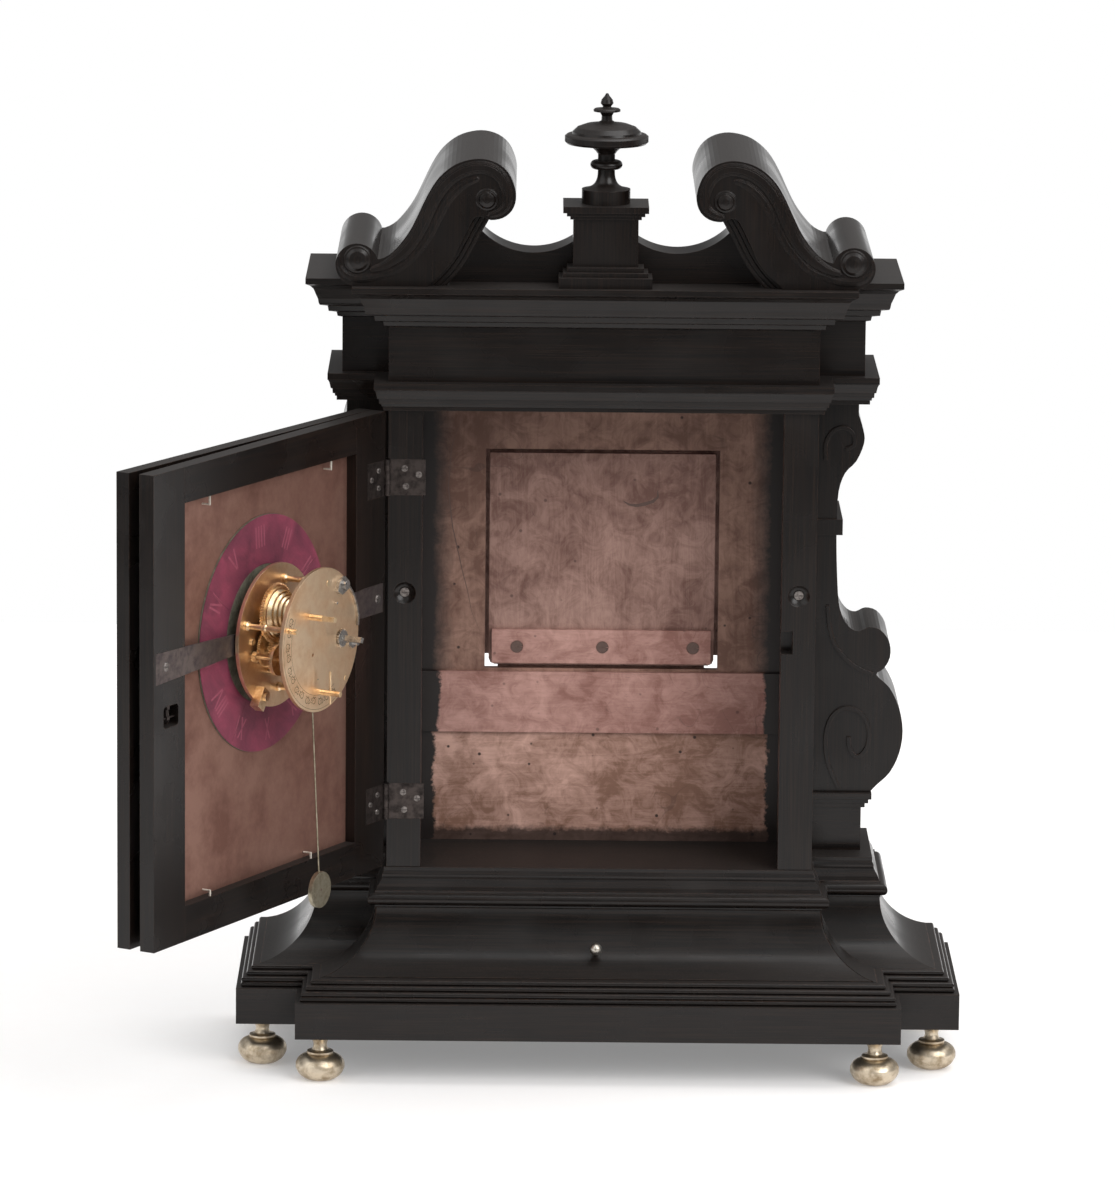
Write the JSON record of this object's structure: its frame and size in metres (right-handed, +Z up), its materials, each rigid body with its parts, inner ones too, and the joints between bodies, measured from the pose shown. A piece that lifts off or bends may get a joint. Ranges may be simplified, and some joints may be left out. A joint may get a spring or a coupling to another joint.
{
  "type": "night clock",
  "caption": "Cabinet night clock with a hinged dial door carrying a spring-driven fusee movement with pendulum, a glazed outer door, a base drawer and a rear hatch.",
  "frame": {"origin": "bottom middle of the box that holds the clock with its door open, on the table", "axes": "+Z up, front toward -Y, +X to the right seen from the front"},
  "size_m": [0.5398, 0.3682, 0.6435],
  "materials": {
    "plinth": "ebonised and waxed",
    "base_board": "ebonised and waxed",
    "base_coves": "ebonised and waxed",
    "base_top": "ebonised and waxed",
    "bun_feet": "turned and polished",
    "drawer_front": "ebonised and waxed",
    "drawer_box": "planed",
    "drawer_knob": "turned and polished",
    "stile_left": "ebonised and waxed",
    "stile_right": "ebonised and waxed",
    "side_panels": "ebonised and waxed",
    "back_board_upper": "planed and aged",
    "back_board_lower": "planed and aged",
    "back_batten": "planed and aged",
    "case_screws": "wrought, dark",
    "architrave": "ebonised and waxed",
    "frieze": "ebonised and waxed",
    "cornice": "ebonised and waxed",
    "scrolls": "ebonised and waxed",
    "tympanum": "ebonised and waxed",
    "pedestal": "ebonised and waxed",
    "finial": "ebonised and waxed",
    "brackets": "ebonised and waxed",
    "bracket_blocks": "ebonised and waxed",
    "hatch_panel": "planed and aged",
    "hatch_batten": "planed and aged",
    "hatch_hinges_fixed": "blackened",
    "hatch_hinges_moving": "blackened",
    "hatch_button": "stained",
    "dial_stile_hinge": "ebonised and waxed",
    "dial_stile_free": "ebonised and waxed",
    "dial_rails": "ebonised and waxed",
    "dial_plate": "copper sheet, oxidised",
    "plate_nails": "worn",
    "strap": "wrought, dark",
    "door_screws": "wrought, dark",
    "door_hinges_fixed": "blackened",
    "door_hinges_moving": "blackened",
    "lock_hook": "wrought, dark",
    "glazed_stiles": "ebonised and waxed",
    "glazed_rails": "ebonised and waxed",
    "glass_pane": "clear",
    "glazed_hinges_inner": "blackened",
    "glazed_hinges_outer": "blackened",
    "front_plate": "gilt",
    "rear_plate": "gilt",
    "pillars": "gilt",
    "barrel": "gilt",
    "mainspring": "worn",
    "barrel_arbor": "worn",
    "click_work": "gilt",
    "fusee": "gilt",
    "gut_line": "gut",
    "second_wheel": "gilt",
    "contrate_wheel": "gilt",
    "crown_wheel": "gilt",
    "potence": "gilt",
    "verge_pendulum": "worn",
    "hour_disc": "dull",
    "silk_ring": "silk"
  },
  "bodies": {
    "case": {"plinth": "plinth", "base_board": "base_board", "base_coves": "base_coves", "base_top": "base_top", "bun_feet": "bun_feet", "stile_left": "stile_left", "stile_right": "stile_right", "side_panels": "side_panels", "back_board_upper": "back_board_upper", "back_board_lower": "back_board_lower", "back_batten": "back_batten", "case_screws": "case_screws", "architrave": "architrave", "frieze": "frieze", "cornice": "cornice", "scrolls": "scrolls", "tympanum": "tympanum", "pedestal": "pedestal", "finial": "finial", "brackets": "brackets", "bracket_blocks": "bracket_blocks", "hatch_hinges_fixed": "hatch_hinges_fixed", "door_hinges_fixed": "door_hinges_fixed"},
    "drawer": {"drawer_front": "drawer_front", "drawer_box": "drawer_box", "drawer_knob": "drawer_knob"},
    "hatch": {"hatch_panel": "hatch_panel", "hatch_batten": "hatch_batten", "hatch_hinges_moving": "hatch_hinges_moving"},
    "turn_button": {"hatch_button": "hatch_button"},
    "dial_door": {"dial_stile_hinge": "dial_stile_hinge", "dial_stile_free": "dial_stile_free", "dial_rails": "dial_rails", "dial_plate": "dial_plate", "plate_nails": "plate_nails", "strap": "strap", "door_screws": "door_screws", "door_hinges_moving": "door_hinges_moving", "glazed_hinges_inner": "glazed_hinges_inner", "front_plate": "front_plate", "rear_plate": "rear_plate", "pillars": "pillars", "barrel_arbor": "barrel_arbor", "click_work": "click_work", "gut_line": "gut_line", "potence": "potence", "mainspring": "mainspring"},
    "glazed_door": {"glazed_stiles": "glazed_stiles", "glazed_rails": "glazed_rails", "glass_pane": "glass_pane", "glazed_hinges_outer": "glazed_hinges_outer"},
    "hook": {"lock_hook": "lock_hook"},
    "barrel_drum": {"barrel": "barrel"},
    "fusee_arbor": {"fusee": "fusee"},
    "second_arbor": {"second_wheel": "second_wheel"},
    "contrate_arbor": {"contrate_wheel": "contrate_wheel"},
    "crown_arbor": {"crown_wheel": "crown_wheel"},
    "pendulum": {"verge_pendulum": "verge_pendulum"},
    "hour_wheel": {"hour_disc": "hour_disc", "silk_ring": "silk_ring"}
  },
  "joints": [
    {"name": "dial_door_swing", "type": "hinge", "parent": "case", "child": "dial_door", "pos_m": [-0.10757, 0.05796, 0.2847], "axis": [0, 0, 1], "range_deg": [-10.3, 119.7]},
    {"name": "glazed_door_swing", "type": "hinge", "parent": "dial_door", "child": "glazed_door", "pos_m": [-0.11677, 0.06424, 0.2847], "axis": [0, 0, 1], "range_deg": [-80, 1.5]},
    {"name": "drawer_slide", "type": "slide", "parent": "case", "child": "drawer", "axis": [0, -1, 0], "range_m": [0, 0.085]},
    {"name": "hatch_swing", "type": "hinge", "parent": "case", "child": "hatch", "pos_m": [0.11213, 0.15126, 0.3198], "axis": [0, 0, 1], "range_deg": [-110, 0]},
    {"name": "turn_button_turn", "type": "hinge", "parent": "case", "child": "turn_button", "pos_m": [-0.05387, 0.15256, 0.3198], "axis": [0, 1, 0], "range_deg": [0, 90]},
    {"name": "lock_hook_throw", "type": "hinge", "parent": "dial_door", "child": "hook", "pos_m": [-0.23946, -0.16509, 0.2797], "axis": [-0.4955, -0.8686, 0], "range_deg": [-85, 0]},
    {"name": "second_wheel_turn", "type": "hinge", "parent": "dial_door", "child": "second_arbor", "pos_m": [-0.17018, -0.08682, 0.30763], "axis": [0.8686, -0.4955, 0], "continuous": true},
    {"name": "fusee_turn", "type": "hinge", "parent": "dial_door", "child": "fusee_arbor", "pos_m": [-0.16811, -0.08319, 0.3298], "axis": [0.8686, -0.4955, 0], "continuous": true},
    {"name": "barrel_turn", "type": "hinge", "parent": "dial_door", "child": "barrel_drum", "pos_m": [-0.14987, -0.05122, 0.3101], "axis": [0.8686, -0.4955, 0], "continuous": true},
    {"name": "contrate_wheel_turn", "type": "hinge", "parent": "dial_door", "child": "contrate_arbor", "pos_m": [-0.17742, -0.09952, 0.30423], "axis": [0.8686, -0.4955, 0], "continuous": true},
    {"name": "crown_wheel_turn", "type": "hinge", "parent": "dial_door", "child": "crown_arbor", "pos_m": [-0.1749, -0.10095, 0.30423], "axis": [0.4277, 0.7499, -0.5046], "continuous": true},
    {"name": "hour_disc_turn", "type": "hinge", "parent": "dial_door", "child": "hour_wheel", "pos_m": [-0.18311, -0.06105, 0.3131], "axis": [0.8686, -0.4955, 0], "continuous": true},
    {"name": "pendulum_swing", "type": "hinge", "parent": "dial_door", "child": "pendulum", "pos_m": [-0.16375, -0.07554, 0.2881], "axis": [0.8686, -0.4955, 0], "range_deg": [-17, 8]}
  ],
  "couplings": [
    {"joint": "barrel_turn", "follows": "fusee_turn", "ratio": 0.7},
    {"joint": "second_wheel_turn", "follows": "fusee_turn", "ratio": -5},
    {"joint": "contrate_wheel_turn", "follows": "fusee_turn", "ratio": 20},
    {"joint": "crown_wheel_turn", "follows": "fusee_turn", "ratio": -100},
    {"joint": "hour_disc_turn", "follows": "fusee_turn", "ratio": -0.2}
  ]
}
